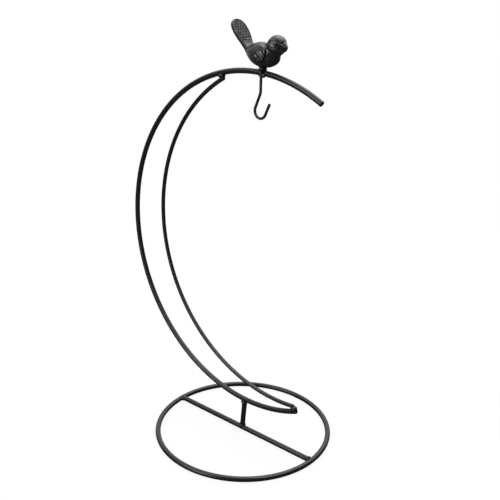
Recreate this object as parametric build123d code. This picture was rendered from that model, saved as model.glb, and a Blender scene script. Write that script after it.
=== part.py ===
from build123d import *
import os
from math import acos, atan2, cos, degrees, radians, sin, sqrt

# Tabletop hanging stand for one ornament: a crescent of two bent wires on a ring base.
# A cast bird perches on the crown of the crescent, and a wire hook hangs under it.
# Every joint is a weld, so each weld bead is a solid of its own between the wires it holds.
# Millimetres. The origin is the ring's centre on the surface that it stands on.
# +X is the way the bird faces, +Z is up, and the crescent lies in Y = 0.

# Wire
STOUT_WIRE = 3.8  # ring, crossbar, riser and outer bow, over their paint
SLIM_WIRE = 3.0  # inner bow
HOOK_WIRE = 1.9
CUT_END_ROUND = 0.4  # softened edge of a cropped and painted wire end
ROOT_GAP = 0.3  # left between welded pieces, and filled by the bead

# Base
RING_DIAMETER = 128.0  # to the middle of the wire
FOOT_FLAT = 0.2  # depth of the flat under the ring, where it stands
BAR_LIFT = 0.3  # crossbar's underside above the table
BAR_TURN = 2.4  # degrees that the crossbar is welded off the crescent's plane
BAR_SHIFT = -1.2  # and how far it passes from the ring's centre, along Y

# Crescent
BOW_RADIUS = 119.6  # outer bow, to the middle of the wire
BOW_CENTRE_X = 0.8
BOW_CLEARANCE = 24.0  # from the table to the underside of the outer bow
BOW_TIP_ANGLE = 61.1  # free end past the hook, in degrees up from +X about the bow's centre
BOW_HEEL_ANGLE = 294.4  # lower end
INNER_TOP_ANGLE = 102.2  # where the inner bow's ends lie along the outer one
INNER_HEEL_ANGLE = 293.7
CRESCENT_GAP = 32.7  # between the two wires' middles at the widest place

# Riser between crossbar and outer bow, which leans a little
RISER_FOOT = 0.4  # along the crossbar from its middle
RISER_HEAD_X = 1.4

# Hook, in a plane beside the crescent
PERCH_ANGLE = 85.4  # place of the bird and the hook along the outer bow
HOOK_OFFSET_X = 1.7  # shank, from the middle of the perch
SHANK_ABOVE = 1.5  # from the bow's middle up to the shank's cropped end
SHANK_BELOW = 10.9  # from the bow's middle down to the first bend
JOG_RADIUS = 6.0
JOG_TURN = 23.5
JOG_RUN = 9.1
BOWL_RADIUS = 4.7
BOWL_TURN = 178.0
TIP_RUN = 8.0

# Bird, from its seat on top of the outer bow: x forwards, z up
TORSO_REAR = (-15.9, 11.3)  # tail end of the torso's axis
TORSO_TILT = -8.7  # degrees, breast down
TORSO_LENGTH = 29.5
TORSO_RADIUS = 7.7  # at its thickest
RUMP_PULL = 0.8  # poles of the torso's outline: how blunt its tail end is
FLANK_PULL = (11.2, 7.9)  # along the axis and off it
CHEST_PULL = (12.9, 12.3)
BREAST_PULL = 6.1  # how blunt its breast is
HEAD_CENTRE = (11.4, 14.9)
HEAD_RADIUS = 6.1
NAPE = (4.4, 11.6)  # where the head's taper ends in the back
NAPE_RADIUS = 3.8
NECK_ROUND = 2.6
BROW = ((-7.0, -0.6), (1.6, 2.7), (7.6, 0.6))  # edge of the cap: nape, over the eye, beak
BROW_RELIEF = 0.3  # how far the cap stands off the head
BEAK_TILT = -7.3
BEAK_REACH = 8.9  # from the head's centre to the beak's tip
BEAK_ROOT = (3.0, 4.2)  # distance from the head's centre and radius where the beak starts
BEAK_WAIST = (6.4, 2.6)
BEAK_FLARE = 0.3  # slope of its sides at the root
BEAK_TIP_RADIUS = 0.6
BEAK_SLOPE = 37.0  # degrees, of its sides where they meet the tip
BEAK_ROUND = 1.5
EYE_RADIUS = 1.0
EYE_FORWARD = 2.0  # from the head's centre, along and above the beak's axis
EYE_ABOVE = 1.2
EYE_STAND = 0.4  # how far the eye stands out
TAIL_ROOT = (-8.6, 8.2)  # inside the torso
TAIL_RISE = 53.1  # degrees up from the horizontal, towards the rear
TAIL_LENGTH = 26.2
TAIL_ROOT_WIDTH = 7.4
TAIL_FAN_WIDTH = 13.0
TAIL_FAN_SHARE = 0.71  # of the length, where it is widest
TAIL_SPREAD = 0.05  # slope of its sides at the root
TAIL_THICKNESS = 2.8
TAIL_EDGE_ROUND = 0.8
TAIL_FILLET = 1.2
TAIL_RIM = 1.2  # border left round the tail's sunk upper face
TAIL_SINK = 0.35  # how deep that face lies
TAIL_SINK_START = 11.0  # where it starts, along the tail
WING_TIP = (4.0, 1.4)  # along the torso's axis from its rear, and above it
WING_SHOULDER = (23.4, 2.6)
WING_TOP = 6.0  # highest and lowest of the folded wing, from the torso's axis
WING_BOTTOM = -4.0
WING_TIP_RISE = (1, 0.3)  # directions of the wing's outline at its tip and its front
WING_TIP_RETURN = (-1, 0.5)
WING_FRONT_FALL = (0.2, -1)
WING_RELIEF = 0.5  # how far the folded wing stands off the torso
ROW_RELIEF = 0.35  # and each shorter row of feathers off the one below
ROW_REARS = (14.0, 17.0, 20.0)  # where the shorter rows end, along the torso's axis
ROW_MARGIN = 1.0  # how far the rows' cutting outline reaches past the wing's edges
FEATHER_ENDS = 4  # rounded feather ends in each row
FEATHER_BULGE = 1.3
BOSS_RADIUS = 2.4  # cast foot under the belly
BOSS_HEIGHT = 3.4

# Weld beads
BEAD = 1.1  # how far a bead spreads past the wire
FOOT_BEAD = 0.7  # and the smaller one at the riser's foot
BEAD_RUN = 2.8  # how far it climbs along the wire
BEAD_LIP = 0.15  # thickness where it runs out
BEAD_WRAP = 1.5  # how far it reaches down round the wire that it sits on
BEAD_SAG = 0.3  # share of its spread and climb left at the middle of its hollow face
BEAD_FLOOR = 0.5  # lowest that a bead at the base reaches, clear of the table
CRESCENT_BEAD = 2.9  # half the length of the bead between the two bows' ends
CRESCENT_BEAD_RADIUS = 2.3
TOP_BEAD_BACK = 1.5  # its middle, back from the inner bow's end
HEEL_BEAD_BACK = 0.2
HOOK_BEAD = 3.0
HOOK_BEAD_RADIUS = 1.8
HOOK_BEAD_DROP = 1.2  # its middle, below the bow's middle
BIRD_BEAD = 0.6

# Places worked out from the sizes above
STOUT_R = STOUT_WIRE / 2
SLIM_R = SLIM_WIRE / 2
HOOK_R = HOOK_WIRE / 2
RING_RADIUS = RING_DIAMETER / 2
RING_Z = STOUT_R - FOOT_FLAT
BAR_Z = STOUT_R + BAR_LIFT
BOW_CENTRE_Z = BOW_CLEARANCE + STOUT_R + BOW_RADIUS
INNER_OFFSET = STOUT_R + ROOT_GAP + SLIM_R  # between the wires' middles where the bows are welded
HOOK_Y = -(STOUT_R + ROOT_GAP + HOOK_R)
HALF_TURN = 180.0
REAR, FRONT = -1, 1  # ends of the crossbar
SIDES = (-1, 1)  # of the bird
FROM_BASE = (Align.CENTER, Align.CENTER, Align.MIN)
FROM_TOP = (Align.CENTER, Align.CENTER, Align.MAX)
SEAM_TOLERANCE = 1e-3
SEAM_SHARES = (0.3, 0.7)  # places along an edge where it is tested


def on_bow(angle, radius=BOW_RADIUS):
    """Point of the crescent's plane at this angle about the outer bow's centre."""
    turn = radians(angle)
    return Vector(BOW_CENTRE_X + radius * cos(turn), 0, BOW_CENTRE_Z + radius * sin(turn))


def along_bow(angle):
    """Direction of the outer bow there, counter-clockwise seen from the front."""
    turn = radians(angle)
    return Vector(-sin(turn), 0, cos(turn))


PERCH = on_bow(PERCH_ANGLE)
SEAT = on_bow(PERCH_ANGLE, BOW_RADIUS + STOUT_R + ROOT_GAP)


def soft_ended(wire):
    """Wire with the edges of its cropped ends softened."""
    ends = [face for face in wire.faces() if face.geom_type == GeomType.PLANE]
    return fillet([edge for face in ends for edge in face.edges()], CUT_END_ROUND)


def bent_wire(path, radius):
    section = Plane(origin=path @ 0, z_dir=path % 0) * Circle(radius)
    return soft_ended(sweep(section, path=path))


def straight_wire(start, end, radius):
    axis = Plane(origin=start, z_dir=end - start)
    return soft_ended(axis * Cylinder(radius, (end - start).length, align=FROM_BASE))


def arc_wire(centre, bend_radius, start, end, wire_radius):
    """Wire bent to part of a circle in the crescent's plane."""
    path = Plane.XZ * CenterArc((centre.X, centre.Z), bend_radius, start, end - start)
    return bent_wire(path, wire_radius)


def below(height):
    """Everything near the base that is lower than this."""
    return Pos(0, 0, height) * Box(2 * RING_DIAMETER, 2 * RING_DIAMETER, STOUT_WIRE, align=FROM_TOP)


def base_ring():
    return Pos(0, 0, RING_Z) * Torus(RING_RADIUS, STOUT_R) - below(0)


def on_bar(along):
    """Point of the crossbar's middle line, this far from where it crosses X = 0."""
    turn = radians(BAR_TURN)
    return Vector(along * cos(turn), BAR_SHIFT + along * sin(turn), BAR_Z)


def crossbar_end(side):
    """Middle of the crossbar's cropped end, just inside the ring."""
    turn = radians(BAR_TURN)
    reach = sqrt((RING_RADIUS - STOUT_R - ROOT_GAP) ** 2 - (BAR_SHIFT * cos(turn)) ** 2)
    return on_bar(side * reach - BAR_SHIFT * sin(turn))


def crossbar():
    return straight_wire(crossbar_end(REAR), crossbar_end(FRONT), STOUT_R)


def outer_bow():
    return arc_wire(on_bow(0, 0), BOW_RADIUS, BOW_TIP_ANGLE, BOW_HEEL_ANGLE, STOUT_R)


def inner_bow():
    """Arc that meets the outer bow at both ends, with the crescent's gap at its middle."""
    weld_radius = BOW_RADIUS - INNER_OFFSET
    half = radians(INNER_HEEL_ANGLE - INNER_TOP_ANGLE) / 2
    middle = (INNER_HEEL_ANGLE + INNER_TOP_ANGLE) / 2
    half_chord = weld_radius * sin(half)
    rise = BOW_RADIUS - CRESCENT_GAP - weld_radius * cos(half)
    bend_radius = (half_chord**2 + rise**2) / (2 * rise)
    centre = on_bow(middle, BOW_RADIUS - CRESCENT_GAP - bend_radius)
    spread = degrees(acos(1 - rise / bend_radius))
    return arc_wire(centre, bend_radius, middle - spread, middle + spread, SLIM_R)


def riser_ends():
    """Middles of the riser's cropped ends, over the crossbar and under the outer bow."""
    foot = on_bar(RISER_FOOT)
    drop = sqrt(BOW_RADIUS**2 - (RISER_HEAD_X - BOW_CENTRE_X) ** 2)
    head = Vector(RISER_HEAD_X, 0, BOW_CENTRE_Z - drop)
    inset = (head - foot).normalized() * (STOUT_R + ROOT_GAP)
    return foot + inset, head - inset


def riser_post():
    foot, head = riser_ends()
    return straight_wire(foot, head, STOUT_R)


def hook():
    """Shank, jog, bowl and tip bent from one wire, with the bowl under the shank's line."""
    shank_x = PERCH.X + HOOK_OFFSET_X
    shank = Line((shank_x, PERCH.Z + SHANK_ABOVE), (shank_x, PERCH.Z - SHANK_BELOW))
    jog = JernArc(shank @ 1, shank % 1, JOG_RADIUS, -JOG_TURN)
    run = Line(jog @ 1, (jog @ 1) + (jog % 1) * JOG_RUN)
    bowl = JernArc(run @ 1, run % 1, BOWL_RADIUS, BOWL_TURN)
    tip = Line(bowl @ 1, (bowl @ 1) + (bowl % 1) * TIP_RUN)
    path = Wire([edge for bend in (shank, jog, run, bowl, tip) for edge in bend.edges()])
    return bent_wire(Plane.XZ.offset(-HOOK_Y) * path, HOOK_R)


def tilted_plane(place, tilt):
    """Plane in the bird's middle: local x along an axis of that tilt, local y upwards."""
    turn = radians(tilt)
    return Plane(origin=(place[0], 0, place[1]), x_dir=(cos(turn), 0, sin(turn)), z_dir=(0, -1, 0))


TORSO_PLANE = tilted_plane(TORSO_REAR, TORSO_TILT)
BEAK_PLANE = tilted_plane(HEAD_CENTRE, BEAK_TILT)


def turned(plane, outline):
    """Solid of revolution of an outline about a plane's local x axis."""
    return revolve(plane * outline, axis=Axis(plane.origin, plane.x_dir))


def turned_halves(plane, outline):
    """The same for a form that is closed at both ends, as two mirrored halves with no seam to trim."""
    half = revolve(plane * outline, axis=Axis(plane.origin, plane.x_dir), revolution_arc=HALF_TURN)
    return half.fuse(mirror(half, about=plane))


def seam(joined, first, second):
    """Edges of a joined body that lie on the surfaces of both pieces it was made from."""

    def on_both(edge):
        spots = [edge @ share for share in SEAM_SHARES]
        gaps = [piece.shell().distance_to(spot) for piece in (first, second) for spot in spots]
        return max(gaps) < SEAM_TOLERANCE

    return [edge for edge in joined.edges() if on_both(edge)]


def torso(swell=0.0):
    """Egg with a narrow tail end, drawn below its axis and turned about it."""
    middle = TORSO_LENGTH / 2
    longer = 1 + swell / middle
    fatter = 1 + swell / TORSO_RADIUS
    rear = [(0, 0), (0, RUMP_PULL), FLANK_PULL]
    breast = [CHEST_PULL, (TORSO_LENGTH, BREAST_PULL), (TORSO_LENGTH, 0)]
    poles = [(middle + (along - middle) * longer, -off * fatter) for along, off in rear + breast]
    side = Bezier(*poles)
    return turned_halves(TORSO_PLANE, make_face([side, Line(side @ 1, side @ 0)]))


def skull():
    """Round head that tapers back into the nape, turned about the line between them."""
    run = Vector(HEAD_CENTRE) - Vector(NAPE)
    flare = (HEAD_RADIUS - NAPE_RADIUS) / run.length
    narrow = sqrt(1 - flare**2)
    neck = (-NAPE_RADIUS * flare, -NAPE_RADIUS * narrow)
    cheek = (run.length - HEAD_RADIUS * flare, -HEAD_RADIUS * narrow)
    side = Polyline((neck[0], 0), neck, cheek)
    opening = HALF_TURN - degrees(acos(flare))
    face = CenterArc((run.length, 0), HEAD_RADIUS, -opening, opening)
    plane = tilted_plane(NAPE, degrees(atan2(run.Y, run.X)))
    return turned(plane, make_face([*side.edges(), face, Line(face @ 1, (neck[0], 0))]))


def cap():
    """Crown of the head above the brow, which stands a little off it."""
    nape, over_eye, front = BROW
    high = 2 * HEAD_RADIUS
    crown = Polyline(front, (front[0], high), (nape[0], high), nape)
    above = make_face([ThreePointArc(nape, over_eye, front), *crown.edges()])
    swollen = Plane(origin=BEAK_PLANE.origin, z_dir=(0, 1, 0)) * Sphere(HEAD_RADIUS + BROW_RELIEF)
    return extrude(BEAK_PLANE * above, 2 * HEAD_RADIUS, both=True) & swollen


def beak():
    """Stout cone with a hollow side and a blunt tip."""
    start = BEAK_ROOT[0]
    root = (start, -BEAK_ROOT[1])
    waist = (BEAK_WAIST[0], -BEAK_WAIST[1])
    tip_centre = (BEAK_REACH - BEAK_TIP_RADIUS, 0)
    point = CenterArc(tip_centre, BEAK_TIP_RADIUS, BEAK_SLOPE - 90, 90 - BEAK_SLOPE)
    side = Spline([root, waist, point @ 0], tangents=[(1, BEAK_FLARE), point % 0])
    outline = make_face([Line((start, 0), root), side, point, Line(point @ 1, (start, 0))])
    return turned(BEAK_PLANE, outline)


def head():
    round_part, cone = skull(), beak()
    joined = round_part + cone
    return fillet(seam(joined, round_part, cone), BEAK_ROUND)


def eye(side):
    depth = sqrt(HEAD_RADIUS**2 - EYE_FORWARD**2 - EYE_ABOVE**2) - EYE_RADIUS + EYE_STAND
    return BEAK_PLANE * Pos(EYE_FORWARD, EYE_ABOVE, side * depth) * Sphere(EYE_RADIUS)


def raised_plane(place, rise):
    """Plane of a blade that rises behind the back: local x outwards, local z out of its upper face."""
    turn = radians(HALF_TURN - rise)
    upper_face = (sin(turn), 0, -cos(turn))
    return Plane(origin=(place[0], 0, place[1]), x_dir=(cos(turn), 0, sin(turn)), z_dir=upper_face)


TAIL_PLANE = raised_plane(TAIL_ROOT, TAIL_RISE)


def tail_outline(start, start_width, inset=0.0):
    """Paddle that widens to its fan and ends round."""
    root = (start, start_width / 2 - inset)
    widest = (TAIL_FAN_SHARE * TAIL_LENGTH, TAIL_FAN_WIDTH / 2 - inset)
    side = Spline([root, widest, (TAIL_LENGTH - inset, 0)], tangents=[(1, TAIL_SPREAD), (0, -1)])
    return make_face([side, mirror(side, about=Plane.XZ), Line(root, (start, -root[1]))])


def tail():
    blade = extrude(TAIL_PLANE * tail_outline(0, TAIL_ROOT_WIDTH), TAIL_THICKNESS / 2, both=True)
    rims = [edge for edge in blade.edges() if edge.geom_type == GeomType.BSPLINE]
    return fillet(rims, TAIL_EDGE_ROUND)


def tail_sink():
    """What is cut from the tail's upper face, inside its rim."""
    floor = TAIL_PLANE.offset(TAIL_THICKNESS / 2 - TAIL_SINK)
    outline = tail_outline(TAIL_SINK_START, TAIL_FAN_WIDTH - TAIL_RIM, TAIL_RIM)
    return extrude(floor * outline, TAIL_THICKNESS)


def wing_outline():
    """Folded wing seen from the side, along the torso's axis."""
    middle = (WING_TIP[0] + WING_SHOULDER[0]) / 2
    over = [WING_TIP, (middle, WING_TOP), WING_SHOULDER]
    under = [WING_SHOULDER, (middle, WING_BOTTOM), WING_TIP]
    top = Spline(over, tangents=[WING_TIP_RISE, WING_FRONT_FALL])
    bottom = Spline(under, tangents=[WING_FRONT_FALL, WING_TIP_RETURN])
    return make_face([top, bottom])


def row_cutter(rear):
    """Outline that keeps what lies ahead of one row's rounded feather ends."""
    high = WING_TOP + ROW_MARGIN
    low = WING_BOTTOM - ROW_MARGIN
    front = WING_SHOULDER[0] + ROW_MARGIN
    step = (low - high) / FEATHER_ENDS
    corners = [(rear, high + step * count) for count in range(FEATHER_ENDS + 1)]
    ends = []
    for upper, lower in zip(corners, corners[1:]):
        ends.append(ThreePointArc(upper, (rear - FEATHER_BULGE, (upper[1] + lower[1]) / 2), lower))
    return make_face([*ends, Polyline((rear, low), (front, low), (front, high), (rear, high))])


def wings():
    """Both folded wings, row by row, each row standing a little further off the torso."""
    whole = wing_outline()
    outlines = [whole] + [whole & row_cutter(rear) for rear in ROW_REARS]
    rows = []
    for count, outline in enumerate(outlines):
        skin = torso(WING_RELIEF + ROW_RELIEF * count)
        rows.append(extrude(TORSO_PLANE * outline, 2 * TORSO_RADIUS, both=True) & skin)
    return rows


def boss():
    """Cast foot, square to the bow that it stands on."""
    upright = SEAT - on_bow(0, 0)
    return Plane(origin=(0, 0, 0), z_dir=upright) * Cylinder(BOSS_RADIUS, BOSS_HEIGHT, align=FROM_BASE)


def bird():
    """One casting: torso, head, raised tail, folded wings, eyes and the foot under the belly."""
    trunk, raised_tail = torso(), tail()
    body = trunk + head()
    body = fillet(seam(body, trunk, skull()), NECK_ROUND)
    body = body + raised_tail
    body = fillet(seam(body, trunk, raised_tail), TAIL_FILLET) - tail_sink()
    for feature in [cap(), *wings(), *[eye(side) for side in SIDES], boss()]:
        body = body + feature
    return Pos(SEAT.X, SEAT.Y, SEAT.Z) * body


def collar(foot, direction, wire_radius, spread=BEAD):
    """Flare of weld metal round a wire's end: wide where it meets the other wire, thin up its own."""
    wide = wire_radius + spread
    lip = wire_radius + BEAD_LIP
    hollow = (wire_radius + BEAD_SAG * spread, BEAD_SAG * BEAD_RUN)
    flare = ThreePointArc((wide, 0), hollow, (lip, BEAD_RUN))
    rest = Polyline((lip, BEAD_RUN), (0, BEAD_RUN), (0, -BEAD_WRAP), (wire_radius, -BEAD_WRAP), (wide, 0))
    frame = Plane(origin=foot, z_dir=direction)
    side = Plane(origin=foot, x_dir=frame.x_dir, z_dir=-frame.y_dir)
    return revolve(side * make_face([flare, rest]), axis=Axis(foot, direction))


def spindle(middle, direction, half_length, radius):
    """Bead drawn out along a groove between two wires."""
    plane = Plane(origin=middle, x_dir=direction, z_dir=(0, -1, 0))
    crest = EllipticalCenterArc((0, 0), half_length, radius, 0, arc_size=HALF_TURN)
    return turned_halves(plane, make_face([crest, Line(crest @ 0, crest @ 1)]))


def crossbar_weld(side, ring, bar):
    bead = collar(crossbar_end(side), crossbar_end(-side) - crossbar_end(side), STOUT_R)
    return bead - below(BEAD_FLOOR) - ring - bar


def crescent_weld(angle, back, bow, inner):
    """Bead in the groove between the two bows, near an end of the inner one."""
    place = angle + degrees(back / BOW_RADIUS)
    middle = on_bow(place, BOW_RADIUS - STOUT_R)
    return spindle(middle, along_bow(place), CRESCENT_BEAD, CRESCENT_BEAD_RADIUS) - bow - inner


def bird_weld(bow, perched, hanger):
    bead = collar(SEAT, SEAT - on_bow(0, 0), BOSS_RADIUS, BIRD_BEAD)
    return bead - bow - perched - hanger


def hook_weld(bow, hanger, seat_bead):
    middle = Vector(PERCH.X + HOOK_OFFSET_X, HOOK_Y + HOOK_R, PERCH.Z - HOOK_BEAD_DROP)
    bead = spindle(middle, along_bow(PERCH_ANGLE), HOOK_BEAD, HOOK_BEAD_RADIUS)
    return bead - bow - hanger - seat_bead


def build():
    """Every piece and every weld bead by name."""
    ring, bar, post = base_ring(), crossbar(), riser_post()
    bow, inner = outer_bow(), inner_bow()
    hanger, perched = hook(), bird()
    foot, top = riser_ends()
    seat_bead = bird_weld(bow, perched, hanger)
    return {
        "base_ring": ring,
        "crossbar": bar,
        "riser_post": post,
        "outer_bow": bow,
        "inner_bow": inner,
        "hook": hanger,
        "bird": perched,
        "crossbar_weld_front": crossbar_weld(FRONT, ring, bar),
        "crossbar_weld_rear": crossbar_weld(REAR, ring, bar),
        "riser_foot_weld": collar(foot, top - foot, STOUT_R, FOOT_BEAD) - bar - post,
        "riser_head_weld": collar(top, foot - top, STOUT_R) - bow - post,
        "crescent_top_weld": crescent_weld(INNER_TOP_ANGLE, TOP_BEAD_BACK, bow, inner),
        "crescent_heel_weld": crescent_weld(INNER_HEEL_ANGLE, -HEEL_BEAD_BACK, bow, inner),
        "bird_weld": seat_bead,
        "hook_weld": hook_weld(bow, hanger, seat_bead),
    }


os.makedirs("parts", exist_ok=True)
for name, shape in build().items():
    export_step(shape, f"parts/{name}.step")
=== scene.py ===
from math import cos, hypot, pi, radians, sin, sqrt, tau

import bmesh
import bpy
import numpy as np
from mathutils import Matrix, Vector


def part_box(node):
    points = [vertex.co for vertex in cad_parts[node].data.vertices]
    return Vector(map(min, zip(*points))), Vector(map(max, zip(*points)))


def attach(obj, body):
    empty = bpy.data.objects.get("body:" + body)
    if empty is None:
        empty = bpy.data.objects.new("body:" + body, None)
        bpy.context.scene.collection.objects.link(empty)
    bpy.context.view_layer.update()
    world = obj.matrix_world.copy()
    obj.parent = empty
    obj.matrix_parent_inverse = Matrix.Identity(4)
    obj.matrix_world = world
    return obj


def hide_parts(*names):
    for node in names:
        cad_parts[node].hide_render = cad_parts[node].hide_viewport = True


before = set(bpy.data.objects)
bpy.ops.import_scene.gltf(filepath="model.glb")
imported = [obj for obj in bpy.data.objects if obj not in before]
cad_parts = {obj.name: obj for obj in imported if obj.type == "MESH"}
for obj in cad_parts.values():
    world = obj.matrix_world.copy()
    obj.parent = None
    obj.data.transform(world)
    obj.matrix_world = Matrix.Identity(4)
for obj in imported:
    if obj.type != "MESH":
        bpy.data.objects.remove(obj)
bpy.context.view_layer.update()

MM = 0.001  # one millimetre in metres
BODY = "root"
TINY = 0.001  # least distance that is divided by

# Wire
WIRE_SIDES = 32
WIRE_EASE = 0.02  # how far the painted wire stays inside its solid
CUT_END_ROUND = 0.35  # softened rim of a cropped and painted end
CUT_FACE = 0.02  # depth to which a cropped end is all cut face
END_ROUND_STEPS = 4
RIM_ANGLE = 60.0  # edges sharper than this are rims
BEND_STEP = 1.25  # degrees between points along a bend
RUN_STEP = 2.0  # between points along a straight run

# Hook, bent from one wire: bowl, straight run, jog back to the upright shank
BOWL_RADIUS = 4.7
BOWL_TURN = 178.0
HOOK_LEAN = 23.5
HOOK_RUN = 9.1
JOG_RADIUS = 6.0
TIP_RUN = 8.0

# Fine copies of solids
MERGE_WITHIN = 0.001
SMOOTH_SHARE = 0.5  # how far each round of smoothing takes a point towards its neighbours' middle

# Weld beads
BEAD_VOXEL = 0.12
BEAD_SMOOTH = 4  # rounds of smoothing after the fine mesh is made
BEAD_LUMP = 0.05  # height of the lumps along its run
BEAD_LUMP_SIZE = 1.3
BEAD_SHRINK = 0.1  # of a bead as it cools
FILLET_RUN = (60.2, 62.2)  # from the ring's middle, over which the crossbar's beads rise to the ring
FILLET_HEIGHT = 0.5  # of those beads at the ring, above the bar
SHANK_COVER = 0.35  # share left of the hook's bead where it stands in front of the shank's middle

# Bird, from its seat on the outer bow: x forwards, z up
PERCH_ANGLE = 85.4  # along the outer bow
SEAT_GAP = 0.3  # between the bow and the foot
BIRD_VOXEL = 0.2
BIRD_SMOOTH = 3
TORSO_REAR = (-15.9, 11.3)
TORSO_TILT = -8.7
HEAD_CENTRE = (11.4, 14.9)
HEAD_RADIUS = 6.1
BEAK_TILT = -7.3
TAIL_ROOT = (-8.6, 8.2)
TAIL_RISE = 53.1
TAIL_LENGTH = 26.2
TAIL_THICKNESS = 2.8
TAIL_FACE_START = 11.0  # where the tail's sunk face starts, along it
TAIL_SINK = 0.35  # depth of that face
TAIL_RUN_OUT = 5.5  # where it runs out towards the root
TAIL_RIM = 1.2
TAIL_SLOT = 0.5  # length of the slots in which the tail's half width is read
PLAIN_RELIEF = 0.6  # paint's relief on uncarved metal, from 0 in the deepest carving to 1 on the highest
GRAIN_SIZE = 1.4  # lumps left by the sand mould
GRAIN_DEPTH = 0.015

# Carving on the tail
FACE_EDGE = (0.4, 0.8)  # how squarely a surface faces front or back, where carving starts and is full
RIM_FADE = 0.4  # from the rim to full depth
SCALE_ROW = 1.9  # overlapping scales on the upper face: pitch along and across it
SCALE_WIDTH = 2.4
SCALE_DEPTH = 0.6
SCALE_LEVEL = 0.6  # share of a scale's height that lies below the plain face
SCALE_WANDER = 0.5  # how far a scale is carved off its row
SCALE_WANDER_RUN = 7.0  # over which that changes
RIM_GROOVE = 0.35  # depth of the groove inside the rim
RIM_GROOVE_WIDTH = 0.4
QUILL_SHARES = (-0.6, -0.2, 0.2, 0.6)  # of the half width: grooves down the tail's back
QUILL_DEPTH = 0.3

# Carving on the wings, along the torso's axis and above it
SIDE_EDGE = (0.2, 0.5)  # how squarely a surface faces sideways, where carving starts and is full
WING_HEIGHTS = (-3.4, 5.2)  # lowest and highest of the feather lines
WING_FADE = 0.6  # softness of those limits
WING_FAN = (1.0, 1.4)  # where the lines of the long feathers meet
WING_FAN_STEP = 7.5
WING_LONG = (5.5, 14.5)  # the long feathers' reach
LONG_LINE = 0.2  # width of a line, as a share of the step
LONG_FADE = 1.0  # softness of their ends
WING_SHOULDER = (27.0, 2.6)  # where the lines of the short feathers meet
SHORT_FAN_STEP = 11.0
WING_SHORT = (14.0, 23.0)  # the short feathers' reach
SHORT_LINE = 0.16
SHORT_FADE = 0.8
FEATHER_DEPTH = 0.04
SHOULDER_FEATHERS = (  # raised quills at the wing's shoulder, from end to end
    ((22.6, 4.6), (24.5, 2.7)),
    ((20.8, 3.4), (23.2, 1.2)),
    ((17.4, 2.6), (20.2, 0.4)),
    ((17.2, -0.4), (19.4, -2.2)),
)
SHOULDER_HEIGHT = 0.32
SHOULDER_WIDTH = 0.95

# Carving on the head, from its centre, along the beak's axis and above it
HEAD_MARGIN = 4.0  # how far it reaches past the head's ball, over the beak
NAPE_FADE = (-5.5, -3.5)  # where carving starts and is full, from the nape forwards
CROWN_FADE = (0.3, 1.5)  # out from the middle of the head, where the brow starts and is full
CAP_EDGE = ((-7.0, -0.6), (1.6, 2.7), (7.6, 0.6))  # where the solid's cap ends: nape, over the eye, beak
CAP_RELIEF = 0.3
CAP_FADE = (-0.1, 0.3)  # across its edge
BROW = ((-5.0, -0.4), (1.5, 3.7), (7.4, 1.3))  # where the carved cap ends, a little higher
BROW_DROP = 0.2  # middle of the crease under it
BROW_DEPTH = 0.22
BROW_WIDTH = 0.5
EYE = (1.4, 1.4)
EYE_SIDE = (2.0, 3.0)  # out from the middle of the head, where the eye's carving starts and is full
EYE_RIM = 1.75  # raised rim round the eye
EYE_RIM_HEIGHT = 0.22
EYE_RIM_WIDTH = 0.45
EYE_SOCKET = 2.6  # groove round that rim
EYE_SOCKET_DEPTH = 0.22
EYE_SOCKET_WIDTH = 0.4
MOUTH_START = 3.6
MOUTH_FADE = 1.0
MOUTH_TIP = (8.9, -0.1)  # from there the mouth's line falls back
MOUTH_FALL = 0.22  # per millimetre
MOUTH_DEPTH = 0.35
MOUTH_WIDTH = 0.3
CHIN_DROP = 1.1  # middle of the chin's roll, below the mouth
CHIN_HEIGHT = 0.35
CHIN_WIDTH = 0.7
CHIN_RUN_OUT = (5.5, 7.8)

# Camera, at the photograph's angle
CAMERA_AZIMUTH = 42.221
CAMERA_ELEVATION = 19.178
CAMERA_ROLL = 1.282
CAMERA_DISTANCE = 502.6
CAMERA_TARGET = (1.657, 1.679, 143.652)
CAMERA_LENS = 52.02
CAMERA_SENSOR = 36.0
CAMERA_NEAR = 10.0  # nearest that it sees

# Studio, in metres: a white surround above and behind the stand, and a dim room before and beside it
DIM_ROOM = 0.03  # level of its light, where white is 1
DIM_EDGE = (0.5, 1.1)  # a ray's reach behind and up, where the dim room ends and the white is full
SURROUND_LIFT = 1.3  # weight of its rise in that reach
DIFFUSE_LEVEL = 0.8  # share of the surround's light that falls on plain colour
FLOOR_REACH = 4.0
FLOOR_FADE = (0.15, 0.6)  # from the stand, over which its shadow fades out
FLOOR_WHITE = (0.5, 1.4)  # behind the stand, over which the paint starts to mirror the floor as white
SHADOW_SHARE = 0.1  # how much of the floor's light is left to the shadow
LAMPS = (  # name, place, width of the square and watts
    ("overhead", (-0.05, 0.44, 1.2), 1.0, 7.0),
    ("front_right", (0.8, -0.12, 1.05), 0.4, 2.0),
    ("left", (-0.26, -0.91, 0.53), 0.5, 3.6),
    ("low_left", (0.0, -1.0, 0.1), 0.18, 0.7),
)


def linear(hex_colour):
    """Linear colour of an sRGB hex value."""
    channels = [int(hex_colour[place : place + 2], 16) / 255 for place in (1, 3, 5)]
    return [c / 12.92 if c <= 0.04045 else ((c + 0.055) / 1.055) ** 2.4 for c in channels] + [1.0]


def add_node(tree, kind, inputs=None, **settings):
    """Adds a node with its settings, and sets or links its inputs by name or number."""
    node = tree.nodes.new(kind)
    for name, value in settings.items():
        setattr(node, name, value)
    for name, value in (inputs or {}).items():
        if isinstance(value, bpy.types.NodeSocket):
            tree.links.new(value, node.inputs[name])
        else:
            node.inputs[name].default_value = value
    return node


def new_material(name):
    """Empty node material, its tree and its output node."""
    material = bpy.data.materials.new(name)
    material.use_nodes = True
    material.node_tree.nodes.clear()
    return material, material.node_tree, add_node(material.node_tree, "ShaderNodeOutputMaterial")


def per_mm(size):
    """Texture scale whose features are about this many millimetres across."""
    return 1 / (size * MM)


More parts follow.
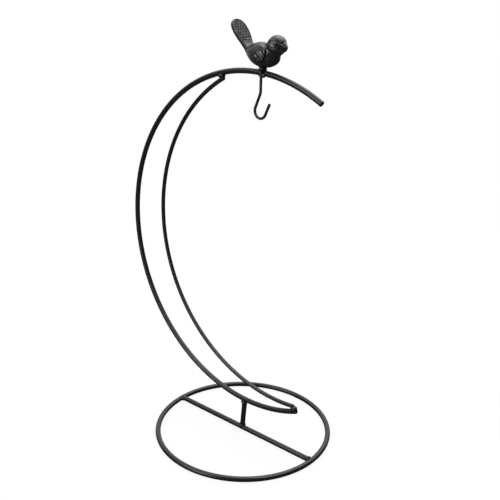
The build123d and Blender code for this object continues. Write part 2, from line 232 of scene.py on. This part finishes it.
def lay_coat(tree, output, tint, gloss, unevenness, strength, depth, shine):
    """Coat of paint of this colour and gloss, uneven by this depth in millimetres."""
    bump = add_node(
        tree, "ShaderNodeBump", {"Height": unevenness, "Strength": strength, "Distance": depth * MM}
    )
    coat = add_node(
        tree,
        "ShaderNodeBsdfPrincipled",
        {
            "Base Color": tint.outputs["Result"],
            "Roughness": gloss.outputs["Result"],
            "Normal": bump.outputs["Normal"],
            "Specular IOR Level": shine,
        },
    )
    tree.links.new(coat.outputs["BSDF"], output.inputs["Surface"])


def powder_coated_wire():
    """Satin black powder coat on drawn wire: fine orange peel, cloudy, and dull on its cropped ends,
    which are darkened as painted shade.
    """
    material, tree, output = new_material("powder_coated_wire")
    place = add_node(tree, "ShaderNodeTexCoord").outputs["Object"]
    # Orange peel of real powder is about 0.5 mm across, drawn at 0.9 mm so that it shows
    peel = add_node(tree, "ShaderNodeTexNoise", {"Vector": place, "Scale": per_mm(0.9), "Detail": 3.0})
    # Thicker and thinner powder along the wire, 14 mm across
    cloud = add_node(tree, "ShaderNodeTexNoise", {"Vector": place, "Scale": per_mm(14.0), "Detail": 2.0})
    tint = add_node(
        tree,
        "ShaderNodeMix",
        {"Factor": cloud.outputs["Fac"], "A": linear("#151516"), "B": linear("#1e1e20")},
        data_type="RGBA",
    )
    # Cropped ends are made dull, and darker as painted shade
    cut = add_node(tree, "ShaderNodeAttribute", attribute_name="cut_end").outputs["Fac"]
    tint = add_node(
        tree,
        "ShaderNodeMix",
        {"Factor": cut, "A": tint.outputs["Result"], "B": linear("#070708")},
        data_type="RGBA",
    )
    satin = add_node(
        tree, "ShaderNodeMapRange", {"Value": peel.outputs["Fac"], "To Min": 0.3, "To Max": 0.4}
    )
    gloss = add_node(
        tree, "ShaderNodeMapRange", {"Value": cut, "To Min": satin.outputs["Result"], "To Max": 0.85}
    )
    lay_coat(tree, output, tint, gloss, peel.outputs["Fac"], strength=0.15, depth=0.03, shine=0.65)
    return material


def painted_casting():
    """Satin black paint on a sand casting: painted shade darkens the carving, raised parts are paler as
    a painted highlight, and shinier.
    """
    material, tree, output = new_material("painted_casting")
    place = add_node(tree, "ShaderNodeTexCoord").outputs["Object"]
    # Grain of the sand mould under the paint, 0.8 mm
    grain = add_node(tree, "ShaderNodeTexNoise", {"Vector": place, "Scale": per_mm(0.8), "Detail": 2.0})
    relief = add_node(tree, "ShaderNodeAttribute", attribute_name="relief")
    # Colour from the relief: painted shade in the carving, painted highlight on the raised parts
    tint = add_node(
        tree,
        "ShaderNodeMix",
        {"Factor": relief.outputs["Fac"], "A": linear("#0a0a0b"), "B": linear("#2a2a2c")},
        data_type="RGBA",
    )
    gloss = add_node(
        tree,
        "ShaderNodeMapRange",
        {"Value": relief.outputs["Fac"], "From Min": 0.5, "To Min": 0.37, "To Max": 0.24},
    )
    lay_coat(tree, output, tint, gloss, grain.outputs["Fac"], strength=0.1, depth=0.03, shine=0.8)
    return material


def coated_weld():
    """Powder coat over a weld bead: the same black, glossier where it runs thick."""
    material, tree, output = new_material("coated_weld")
    place = add_node(tree, "ShaderNodeTexCoord").outputs["Object"]
    # Ripples of the weld pool, 0.7 mm
    ripple = add_node(tree, "ShaderNodeTexNoise", {"Vector": place, "Scale": per_mm(0.7), "Detail": 3.0})
    tint = add_node(
        tree,
        "ShaderNodeMix",
        {"Factor": ripple.outputs["Fac"], "A": linear("#111112"), "B": linear("#1c1c1d")},
        data_type="RGBA",
    )
    gloss = add_node(
        tree, "ShaderNodeMapRange", {"Value": ripple.outputs["Fac"], "To Min": 0.34, "To Max": 0.5}
    )
    lay_coat(tree, output, tint, gloss, ripple.outputs["Fac"], strength=0.35, depth=0.06, shine=0.65)
    return material


def wire_tree():
    """Geometry nodes that turn a chain of edges into round painted wire, never lower than the table."""
    tree = bpy.data.node_groups.new("painted_wire", "GeometryNodeTree")
    face = tree.interface
    face.new_socket("Path", in_out="INPUT", socket_type="NodeSocketGeometry")
    face.new_socket("Wire Radius", in_out="INPUT", socket_type="NodeSocketFloat")
    face.new_socket("Sides", in_out="INPUT", socket_type="NodeSocketInt")
    face.new_socket("Finish", in_out="INPUT", socket_type="NodeSocketMaterial")
    face.new_socket("Wire", in_out="OUTPUT", socket_type="NodeSocketGeometry")
    given = add_node(tree, "NodeGroupInput").outputs
    line = add_node(tree, "GeometryNodeMeshToCurve", {"Mesh": given["Path"]})
    section = add_node(
        tree,
        "GeometryNodeCurvePrimitiveCircle",
        {"Resolution": given["Sides"], "Radius": given["Wire Radius"]},
    )
    tube = add_node(
        tree,
        "GeometryNodeCurveToMesh",
        {"Curve": line.outputs["Curve"], "Profile Curve": section.outputs["Curve"], "Fill Caps": True},
    )
    place = add_node(tree, "GeometryNodeInputPosition")
    parts = add_node(tree, "ShaderNodeSeparateXYZ", {"Vector": place.outputs["Position"]})
    height = add_node(tree, "ShaderNodeMath", {0: parts.outputs["Z"], 1: 0.0}, operation="MAXIMUM")
    resting = add_node(
        tree,
        "ShaderNodeCombineXYZ",
        {"X": parts.outputs["X"], "Y": parts.outputs["Y"], "Z": height.outputs["Value"]},
    )
    stood = add_node(
        tree,
        "GeometryNodeSetPosition",
        {"Geometry": tube.outputs["Mesh"], "Position": resting.outputs["Vector"]},
    )
    whole = add_node(tree, "GeometryNodeRealizeInstances", {"Geometry": stood.outputs["Geometry"]})
    painted = add_node(
        tree,
        "GeometryNodeSetMaterial",
        {"Geometry": whole.outputs["Geometry"], "Material": given["Finish"]},
    )
    add_node(tree, "NodeGroupOutput", {"Wire": painted.outputs["Geometry"]})
    return tree


def set_inputs(modifier, values):
    """Sets a geometry nodes modifier's inputs by their sockets' identifiers."""
    for socket in modifier.node_group.interface.items_tree:
        if socket.in_out == "INPUT" and socket.name in values:
            modifier[socket.identifier] = values[socket.name]


def new_piece(name, data):
    """Object of this name and data in the scene."""
    piece = bpy.data.objects.new(name, data)
    bpy.context.scene.collection.objects.link(piece)
    return piece


def settle(piece):
    """Turns a piece's modifiers into its plain mesh and removes them."""
    depsgraph = bpy.context.evaluated_depsgraph_get()
    mesh = bpy.data.meshes.new_from_object(piece.evaluated_get(depsgraph), depsgraph=depsgraph)
    piece.modifiers.clear()
    piece.data = mesh
    mesh.name = piece.name
    mesh.shade_smooth()


def fit_in(piece, node):
    """The piece stands for a CAD node, on the body that carries it."""
    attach(piece, BODY)
    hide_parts(node)


def node_points(node):
    """Vertices of a CAD node, each place once, in millimetres."""
    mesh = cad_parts[node].data
    flat = np.empty(len(mesh.vertices) * 3)
    mesh.vertices.foreach_get("co", flat)
    return np.unique((flat.reshape(-1, 3) / MM).round(4), axis=0)


def wire_radius(node):
    """Half the thickness of a wire that lies in an upright plane of constant Y."""
    low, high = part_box(node)
    return (high.y - low.y) / 2 / MM


# Wire of the ring, the crossbar, the riser and the outer bow
STOUT_RADIUS = wire_radius("outer_bow")


def bend_of(node):
    """Centre, radius and end angles of the middle line of a wire bent to one arc."""
    x, _, z = node_points(node).T
    fit = np.linalg.lstsq(np.c_[2 * x, 2 * z, np.ones_like(x)], x**2 + z**2, rcond=None)[0]
    # Round a wire's section, the squared distance from the bend's centre is on average larger by half
    # the wire's squared radius than on its middle line
    radius = sqrt(fit[2] + fit[0] ** 2 + fit[1] ** 2 - wire_radius(node) ** 2 / 2)
    turns = np.arctan2(z - fit[1], x - fit[0]) % tau
    return fit[:2], radius, turns.min(), turns.max()


def arc_points(centre, radius, start, end):
    """Points along an arc in the crescent's plane."""
    count = int(abs(end - start) / radians(BEND_STEP)) + 2
    turns = np.linspace(start, end, count)
    return np.c_[centre[0] + radius * np.cos(turns), np.zeros(count), centre[1] + radius * np.sin(turns)]


def run_points(start, end):
    """Points along a straight run."""
    start, end = np.array(start, float), np.array(end, float)
    count = int(np.linalg.norm(end - start) / RUN_STEP) + 2
    return start + np.linspace(0, 1, count)[:, None] * (end - start)


def straight_path(node):
    """Middle line of a straight wire, between the middles of its ends."""
    points = node_points(node)
    middle = (points.min(0) + points.max(0)) / 2
    longest = np.argmax(np.ptp(points, axis=0))
    beyond = points[:, longest] > middle[longest]
    direction = points[beyond].mean(0) - points[~beyond].mean(0)
    direction /= np.linalg.norm(direction)
    reach = (points - middle) @ direction
    return run_points(middle + direction * reach.min(), middle + direction * reach.max())


def arc_path(node):
    """Middle line of a wire bent to one arc."""
    return arc_points(*bend_of(node))


def ring_path(node):
    """Circle in the middle of the ring's wire, which has a flat under it."""
    _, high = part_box(node)
    radius = high.x / MM - STOUT_RADIUS
    height = high.z / MM - STOUT_RADIUS
    turns = np.arange(0, tau, radians(BEND_STEP))
    return np.c_[radius * np.cos(turns), radius * np.sin(turns), np.full(len(turns), height)]


def hook_path(node):
    """Tip, bowl, run, jog and shank, from the lowest and rearmost reach of the bowl."""
    low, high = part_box(node)
    edge = BOWL_RADIUS + wire_radius(node)
    centre = (low.x / MM + edge, low.z / MM + edge)
    lean = radians(HOOK_LEAN)
    tip_lean = lean + pi - radians(BOWL_TURN)
    along_tip = np.array([sin(tip_lean), 0, cos(tip_lean)])
    along_run = np.array([sin(lean), 0, cos(lean)])
    bowl = arc_points(centre, BOWL_RADIUS, -tip_lean, -lean - pi)
    tip = run_points(bowl[0] + along_tip * TIP_RUN, bowl[0])
    run = run_points(bowl[-1], bowl[-1] + along_run * HOOK_RUN)
    turn = run[-1] - np.array([cos(lean), 0, -sin(lean)]) * JOG_RADIUS
    jog = arc_points(turn[[0, 2]], JOG_RADIUS, -lean, 0)
    shank = run_points(jog[-1], [jog[-1][0], 0, high.z / MM])
    path = np.vstack([tip[:-1], bowl[:-1], run[:-1], jog[:-1], shank])
    path[:, 1] = (low.y + high.y) / 2 / MM
    return path


def mark_cut_ends(mesh, path, closed):
    """Attribute that is 1 on the cropped faces of a wire and 0 along it."""
    points, _ = points_and_normals(mesh)
    cut = np.zeros(len(points))
    ends = [] if closed else [(path[0], path[1]), (path[-1], path[-2])]
    for end, inner in ends:
        outwards = (end - inner) / np.linalg.norm(end - inner)
        near = np.linalg.norm(points - end, axis=1) < 2 * STOUT_RADIUS
        cut = np.maximum(cut, near * ramp((points - end) @ outwards, -CUT_END_ROUND / 2, -CUT_FACE))
    mesh.attributes.new("cut_end", "FLOAT", "POINT").data.foreach_set("value", cut)


def painted_wire(node, path, radius, tree, finish, closed=False):
    """Round wire along a path, with the rims of its cropped ends softened."""
    count = len(path)
    edges = [(place, place + 1) for place in range(count - 1)]
    if closed:
        edges.append((count - 1, 0))
    mesh = bpy.data.meshes.new(node + "_path")
    mesh.from_pydata((path * MM).tolist(), edges, [])
    piece = new_piece("painted_" + node, mesh)
    sweep = piece.modifiers.new("wire", "NODES")
    sweep.node_group = tree
    set_inputs(sweep, {"Wire Radius": (radius - WIRE_EASE) * MM, "Sides": WIRE_SIDES, "Finish": finish})
    if not closed:
        rim = piece.modifiers.new("rim", "BEVEL")
        rim.width = CUT_END_ROUND * MM
        rim.segments = END_ROUND_STEPS
        rim.limit_method = "ANGLE"
        rim.angle_limit = radians(RIM_ANGLE)
    settle(piece)
    mark_cut_ends(piece.data, path, closed)
    fit_in(piece, node)


def keep_largest(mesh):
    """Drops the crumbs that an even mesh leaves at a thin edge, and keeps the largest closed part."""
    body = bmesh.new()
    body.from_mesh(mesh)
    waiting = set(body.verts)
    parts = []
    while waiting:
        part = {waiting.pop()}
        edge_of_part = list(part)
        while edge_of_part:
            vertex = edge_of_part.pop()
            fresh = {edge.other_vert(vertex) for edge in vertex.link_edges} - part
            part |= fresh
            edge_of_part.extend(fresh)
        waiting -= part
        parts.append(part)
    largest = max(parts, key=len)
    crumbs = [vertex for vertex in body.verts if vertex not in largest]
    bmesh.ops.delete(body, geom=crumbs, context="VERTS")
    body.to_mesh(mesh)
    body.free()


def fine_copy(node, name, voxel, rounds, finish):
    """Copy of a CAD node as one even, smooth mesh."""
    piece = new_piece(name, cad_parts[node].data.copy())
    merge = piece.modifiers.new("merge", "WELD")
    merge.merge_threshold = MERGE_WITHIN * MM
    even = piece.modifiers.new("even", "REMESH")
    even.mode = "VOXEL"
    even.voxel_size = voxel * MM
    soften = piece.modifiers.new("soften", "SMOOTH")
    soften.factor = SMOOTH_SHARE
    soften.iterations = rounds
    settle(piece)
    keep_largest(piece.data)
    piece.data.materials.clear()
    piece.data.materials.append(finish)
    return piece


def points_and_normals(mesh):
    """Vertices in millimetres and their normals."""
    count = len(mesh.vertices) * 3
    points, normals = np.empty(count), np.empty(count)
    mesh.vertices.foreach_get("co", points)
    mesh.vertex_normals.foreach_get("vector", normals)
    return points.reshape(-1, 3) / MM, normals.reshape(-1, 3)


def move_points(mesh, points, node):
    """Puts a mesh's vertices at new places, held inside a CAD node's box."""
    low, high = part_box(node)
    held = np.clip(points, np.array(low) / MM, np.array(high) / MM)
    mesh.vertices.foreach_set("co", (held * MM).ravel())
    mesh.update()


def lumps(points, size, phase=0.0):
    """Slow wave over a surface, from -1 to 1, mixed unevenly so that it doesn't seem to repeat."""
    x, y, z = (points * (tau / size)).T
    return np.sin(x + 1.7 * np.sin(0.6 * y + phase)) * np.cos(0.9 * z + 1.3 * np.sin(0.7 * x - phase))


def filed_to_fillet(points):
    """Bead at the crossbar's end, thin on the bar and rising to the ring."""
    path = straight_path("crossbar")
    run = path[-1] - path[0]
    run /= np.linalg.norm(run)
    from_start = points - path[0]
    off = from_start - (from_start @ run)[:, None] * run
    distance = np.linalg.norm(off, axis=1)
    rise = FILLET_HEIGHT * ramp(np.hypot(points[:, 0], points[:, 1]), *FILLET_RUN)
    over = np.maximum(distance - STOUT_RADIUS - rise, 0)
    return points - off * (over / np.maximum(distance, TINY))[:, None]


def beside_shank(points):
    """Bead at the hook's shank, which lies bare in front of it."""
    low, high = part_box("hook")
    before = np.minimum(points[:, 1] - (low.y + high.y) / 2 / MM, 0)
    return points - np.outer(before * (1 - SHANK_COVER), [0, 1, 0])


def weld_bead(node, finish, phase):
    """Bead of weld metal with the lumps of its run."""
    piece = fine_copy(node, "coated_" + node, BEAD_VOXEL, BEAD_SMOOTH, finish)
    points, normals = points_and_normals(piece.data)
    lift = BEAD_LUMP * lumps(points, BEAD_LUMP_SIZE, phase) - BEAD_SHRINK
    points += normals * lift[:, None]
    if node.startswith("crossbar"):
        points = filed_to_fillet(points)
    if node.startswith("hook"):
        points = beside_shank(points)
    move_points(piece.data, points, node)
    fit_in(piece, node)


def ramp(values, low, high):
    """Smooth step from 0 at low to 1 at high."""
    share = np.clip((values - low) / (high - low), 0, 1)
    return share * share * (3 - 2 * share)


def between(values, low, high, soft):
    """1 between two limits and 0 outside them, with soft edges."""
    return ramp(values, low - soft, low + soft) * (1 - ramp(values, high - soft, high + soft))


def groove(distance, width):
    """Rounded groove, 1 deep at its middle."""
    return np.exp(-((distance / width) ** 2))


def repeated_grooves(values, step, share):
    """Groove at every step, this share of the step wide."""
    turns = values / step
    return groove(turns - np.round(turns), share)


def along_and_above(points, place, tilt):
    """Distances along and above an axis of this tilt in the bird's middle plane."""
    turn = radians(tilt)
    x, z = points[:, 0] - place[0], points[:, 2] - place[1]
    return x * cos(turn) + z * sin(turn), z * cos(turn) - x * sin(turn)


def tail_edge(along, across, on_tail):
    """Distance in from the tail's outline, whose half width is read from the tail's own points."""
    steps = np.arange(TAIL_RUN_OUT, TAIL_LENGTH, TAIL_SLOT)
    slots = np.searchsorted(steps, along[on_tail]) - 1
    widest = np.zeros(len(steps))
    np.maximum.at(widest, slots, np.abs(across[on_tail]))
    half = np.interp(along, steps + TAIL_SLOT / 2, widest)
    return np.minimum(half - np.abs(across), TAIL_LENGTH - along), half


def overlapping_scales(along, across):
    """Rounded scales in rows: each rises to its free edge, from 0 to 1, and drops to the next."""
    radius = hypot(SCALE_ROW, SCALE_WIDTH / 2)
    row = np.floor(along / SCALE_ROW)
    height = np.zeros(len(along))
    covered = np.zeros(len(along), bool)
    for back in (1, 0):
        middle = row - back
        shift = (middle % 2) / 2
        column = np.round(across / SCALE_WIDTH - shift) + shift
        away = np.hypot(along - middle * SCALE_ROW, across - column * SCALE_WIDTH) / radius
        hit = (away < 1) & ~covered
        height[hit] = away[hit]
        covered |= hit
    return height


def tail_carving(points, normals):
    """Scales and a rim groove on the tail's upper face, and quills down its back."""
    along, above = along_and_above(points, TAIL_ROOT, 180 - TAIL_RISE)
    _, facing = along_and_above(normals, (0, 0), 180 - TAIL_RISE)
    across = points[:, 1]
    on_tail = (along > TAIL_RUN_OUT) & (along < TAIL_LENGTH) & (np.abs(above) < TAIL_THICKNESS)
    edge, half = tail_edge(along, across, on_tail)
    upper = ramp(-facing, *FACE_EDGE) * on_tail
    under = ramp(facing, *FACE_EDGE) * on_tail
    face = upper * ramp(edge, TAIL_RIM, TAIL_RIM + RIM_FADE)
    scaled = ramp(along, TAIL_RUN_OUT, TAIL_FACE_START)
    down = along + SCALE_WANDER * lumps(points, SCALE_WANDER_RUN)
    aside = across + SCALE_WANDER * lumps(points, SCALE_WANDER_RUN, pi / 2)
    carving = face * scaled * SCALE_DEPTH * (overlapping_scales(down, aside) - SCALE_LEVEL)
    carving -= face * scaled * TAIL_SINK * (along < TAIL_FACE_START)
    carving -= upper * scaled * RIM_GROOVE * groove(edge - TAIL_RIM, RIM_GROOVE_WIDTH)
    for quill in QUILL_SHARES:
        carving -= under * QUILL_DEPTH * groove(across - quill * half, RIM_GROOVE_WIDTH)
    return carving


def from_line(along, above, start, end):
    """Distance from a short straight line on the side of the bird."""
    run = np.subtract(end, start)
    share = ((along - start[0]) * run[0] + (above - start[1]) * run[1]) / (run @ run)
    share = np.clip(share, 0, 1)
    return np.hypot(along - start[0] - share * run[0], above - start[1] - share * run[1])


def wing_carving(points, normals):
    """Fans of lines between long and short feathers, and raised quills at the wing's shoulder."""
    along, above = along_and_above(points, TORSO_REAR, TORSO_TILT)
    side = ramp(np.abs(normals[:, 1]), *SIDE_EDGE) * between(above, *WING_HEIGHTS, WING_FADE)
    long_turn = np.degrees(np.arctan2(above - WING_FAN[1], along - WING_FAN[0]))
    short_turn = np.degrees(np.arctan2(above - WING_SHOULDER[1], WING_SHOULDER[0] - along))
    long_lines = repeated_grooves(long_turn, WING_FAN_STEP, LONG_LINE)
    long_lines *= between(along, *WING_LONG, LONG_FADE)
    short_lines = repeated_grooves(short_turn, SHORT_FAN_STEP, SHORT_LINE)
    short_lines *= between(along, *WING_SHORT, SHORT_FADE)
    raised = np.zeros(len(points))
    for start, end in SHOULDER_FEATHERS:
        raised = np.maximum(raised, groove(from_line(along, above, start, end), SHOULDER_WIDTH))
    return side * (SHOULDER_HEIGHT * raised - FEATHER_DEPTH * np.maximum(long_lines, short_lines))


def circle_through(first, second, third):
    """Centre and radius of the circle through three points."""
    rows = np.array([first, second, third], float)
    fit = np.linalg.solve(np.c_[2 * rows, np.ones(3)], (rows**2).sum(1))
    return fit[:2], sqrt(fit[2] + fit[0] ** 2 + fit[1] ** 2)


def below_arc(along, above, places):
    """Distance below the arc through three places on the head."""
    centre, radius = circle_through(*places)
    return radius - np.hypot(along - centre[0], above - centre[1])


def head_carving(points):
    """Crease under the brow, rimmed eyes, the line of the mouth and the roll of the chin."""
    along, above = along_and_above(points, HEAD_CENTRE, BEAK_TILT)
    side = np.abs(points[:, 1])
    on_head = np.hypot(np.hypot(along, above), side) < HEAD_RADIUS + HEAD_MARGIN
    on_head = on_head * ramp(along, *NAPE_FADE)
    below_cap = below_arc(along, above, CAP_EDGE)
    below_brow = below_arc(along, above, BROW)
    flank = ramp(side, *CROWN_FADE)
    sunk = CAP_RELIEF * ramp(below_brow, *CAP_FADE) * ramp(-below_cap, *CAP_FADE)
    brow = BROW_DEPTH * groove(below_brow - BROW_DROP, BROW_WIDTH)
    from_eye = np.hypot(along - EYE[0], above - EYE[1])
    on_side = ramp(side, *EYE_SIDE)
    eye = EYE_RIM_HEIGHT * groove(from_eye - EYE_RIM, EYE_RIM_WIDTH) * on_side
    socket = EYE_SOCKET_DEPTH * groove(from_eye - EYE_SOCKET, EYE_SOCKET_WIDTH) * on_side
    below_mouth = MOUTH_TIP[1] - MOUTH_FALL * (MOUTH_TIP[0] - along) - above
    on_beak = ramp(along, MOUTH_START, MOUTH_START + MOUTH_FADE)
    mouth = MOUTH_DEPTH * groove(below_mouth, MOUTH_WIDTH)
    chin = CHIN_HEIGHT * groove(below_mouth - CHIN_DROP, CHIN_WIDTH)
    chin *= 1 - ramp(along, *CHIN_RUN_OUT)
    return on_head * (flank * (-sunk - brow) + eye - socket + on_beak * (chin - mouth))


def seat_of_bird():
    """Place of the bird's foot on top of the outer bow."""
    centre, radius, _, _ = bend_of("outer_bow")
    reach = radius + STOUT_RADIUS + SEAT_GAP
    turn = radians(PERCH_ANGLE)
    return np.array([centre[0] + reach * cos(turn), 0, centre[1] + reach * sin(turn)])


def cast_bird(finish):
    """The casting with its carving, whose depth is kept for the paint's gloss, painted shade and painted
    highlight.
    """
    piece = fine_copy("bird", "painted_bird", BIRD_VOXEL, BIRD_SMOOTH, finish)
    points, normals = points_and_normals(piece.data)
    local = points - seat_of_bird()
    carving = tail_carving(local, normals) + wing_carving(local, normals) + head_carving(local)
    lift = carving + GRAIN_DEPTH * lumps(points, GRAIN_SIZE)
    move_points(piece.data, points + normals * lift[:, None], "bird")
    # Relief sets painted shade in the carving and a painted highlight on raised parts, and the gloss
    relief = piece.data.attributes.new("relief", "FLOAT", "POINT")
    relief.data.foreach_set("value", np.clip(PLAIN_RELIEF + carving / SCALE_DEPTH, 0, 1))
    fit_in(piece, "bird")


def ray_kinds(tree):
    """Shares of the camera's rays, and of rays mirrored or let through by a surface."""
    rays = add_node(tree, "ShaderNodeLightPath").outputs
    mirrored = add_node(
        tree,
        "ShaderNodeMath",
        {0: rays["Is Glossy Ray"], 1: rays["Is Transmission Ray"]},
        operation="MAXIMUM",
    )
    return rays["Is Camera Ray"], mirrored.outputs["Value"]


def away_from_camera(lift):
    """Level direction from the camera to the surround behind the stand, with this much rise."""
    turn = radians(CAMERA_AZIMUTH)
    return Vector((-sin(turn), cos(turn), lift))


def pale_floor():
    """White studio floor, seen as white far from the stand, that keeps a faint shadow near it."""
    material, tree, output = new_material("studio_floor")
    place = add_node(tree, "ShaderNodeTexCoord").outputs["Object"]
    away = add_node(tree, "ShaderNodeVectorMath", {0: place}, operation="LENGTH").outputs["Value"]
    behind = add_node(
        tree, "ShaderNodeVectorMath", {0: place, 1: away_from_camera(0)}, operation="DOT_PRODUCT"
    ).outputs["Value"]
    lit = add_node(
        tree,
        "ShaderNodeMapRange",
        {"Value": behind, "From Min": FLOOR_WHITE[0], "From Max": FLOOR_WHITE[1]},
        interpolation_type="SMOOTHSTEP",
    ).outputs["Result"]
    from_camera, mirrored = ray_kinds(tree)
    shown = add_node(
        tree, "ShaderNodeMath", {0: mirrored, 1: lit}, operation="MULTIPLY"
    ).outputs["Value"]
    seen = add_node(
        tree, "ShaderNodeMath", {0: shown, 1: from_camera}, operation="MAXIMUM"
    ).outputs["Value"]
    white = add_node(
        tree,
        "ShaderNodeMapRange",
        {
            "Value": away,
            "From Min": FLOOR_FADE[0],
            "From Max": FLOOR_FADE[1],
            "To Min": 1 - SHADOW_SHARE,
            "To Max": 1.0,
        },
        interpolation_type="SMOOTHSTEP",
    ).outputs["Result"]
    share = add_node(
        tree, "ShaderNodeMath", {0: seen, 1: white}, operation="MULTIPLY"
    ).outputs["Value"]
    tint = add_node(
        tree,
        "ShaderNodeMix",
        {"Factor": from_camera, "A": linear("#585858"), "B": linear("#ffffff")},
        data_type="RGBA",
    )
    paper = add_node(tree, "ShaderNodeBsdfDiffuse", {"Color": tint.outputs["Result"]})
    glow = add_node(tree, "ShaderNodeEmission", {"Color": linear("#ffffff"), "Strength": 1.0})
    mix = add_node(
        tree, "ShaderNodeMixShader", {0: share, 1: paper.outputs["BSDF"], 2: glow.outputs["Emission"]}
    )
    tree.links.new(mix.outputs["Shader"], output.inputs["Surface"])
    corners = [(x * FLOOR_REACH, y * FLOOR_REACH, 0) for x, y in ((-1, -1), (1, -1), (1, 1), (-1, 1))]
    mesh = bpy.data.meshes.new("studio_floor")
    mesh.from_pydata(corners, [], [(0, 1, 2, 3)])
    mesh.materials.append(material)
    new_piece("studio_floor", mesh)


def studio_world():
    """White surround, seen as white, that lights the stand from above and behind it."""
    world = bpy.data.worlds.new("studio")
    world.use_nodes = True
    tree = world.node_tree
    tree.nodes.clear()
    place = add_node(tree, "ShaderNodeTexCoord").outputs["Generated"]
    behind = add_node(
        tree,
        "ShaderNodeVectorMath",
        {0: place, 1: away_from_camera(SURROUND_LIFT)},
        operation="DOT_PRODUCT",
    ).outputs["Value"]
    surround = add_node(
        tree,
        "ShaderNodeMapRange",
        {
            "Value": behind,
            "From Min": DIM_EDGE[0],
            "From Max": DIM_EDGE[1],
            "To Min": DIM_ROOM,
            "To Max": 1.0,
        },
        interpolation_type="SMOOTHSTEP",
    ).outputs["Result"]
    from_camera, mirrored = ray_kinds(tree)
    level = add_node(
        tree, "ShaderNodeMapRange", {"Value": mirrored, "To Min": DIFFUSE_LEVEL, "To Max": 1.0}
    ).outputs["Result"]
    light = add_node(
        tree, "ShaderNodeMath", {0: surround, 1: level}, operation="MULTIPLY"
    ).outputs["Value"]
    strength = add_node(
        tree, "ShaderNodeMath", {0: light, 1: from_camera}, operation="MAXIMUM"
    ).outputs["Value"]
    sky = add_node(tree, "ShaderNodeBackground", {"Color": linear("#ffffff"), "Strength": strength})
    add_node(tree, "ShaderNodeOutputWorld", {"Surface": sky.outputs["Background"]})
    bpy.context.scene.world = world


def softbox(name, place, size, watts):
    """Square lamp that looks at the middle of the stand."""
    light = bpy.data.lights.new(name, "AREA")
    light.size = size
    light.energy = watts
    lamp = new_piece(name, light)
    lamp.location = place
    aim = Vector(CAMERA_TARGET) * MM - lamp.location
    lamp.rotation_euler = aim.to_track_quat("-Z", "Y").to_euler()


def camera():
    """Camera at the photograph's angle, turned a little about its own line of sight."""
    turn, lift = radians(CAMERA_AZIMUTH), radians(CAMERA_ELEVATION)
    back = Vector((sin(turn) * cos(lift), -cos(turn) * cos(lift), sin(lift)))
    data = bpy.data.cameras.new("camera")
    data.lens = CAMERA_LENS
    data.sensor_width = CAMERA_SENSOR
    data.sensor_fit = "HORIZONTAL"
    data.clip_start = CAMERA_NEAR * MM
    eye = new_piece("camera", data)
    eye.location = (Vector(CAMERA_TARGET) + back * CAMERA_DISTANCE) * MM
    level = (-back).to_track_quat("-Z", "Y").to_matrix()
    eye.rotation_euler = (level @ Matrix.Rotation(radians(CAMERA_ROLL), 3, "Z")).to_euler()
    bpy.context.scene.camera = eye


wire_finish = powder_coated_wire()
weld_finish = coated_weld()
bird_finish = painted_casting()
sweep_tree = wire_tree()
painted_wire("base_ring", ring_path("base_ring"), STOUT_RADIUS, sweep_tree, wire_finish, closed=True)
for name in ("crossbar", "riser_post"):
    painted_wire(name, straight_path(name), STOUT_RADIUS, sweep_tree, wire_finish)
for name in ("outer_bow", "inner_bow"):
    painted_wire(name, arc_path(name), wire_radius(name), sweep_tree, wire_finish)
painted_wire("hook", hook_path("hook"), wire_radius("hook"), sweep_tree, wire_finish)
welds = sorted(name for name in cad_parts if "weld" in name)
for count, name in enumerate(welds):
    weld_bead(name, weld_finish, float(count))
cast_bird(bird_finish)

pale_floor()
studio_world()
for lamp in LAMPS:
    softbox(*lamp)
camera()
bpy.context.scene.view_settings.view_transform = "Standard"
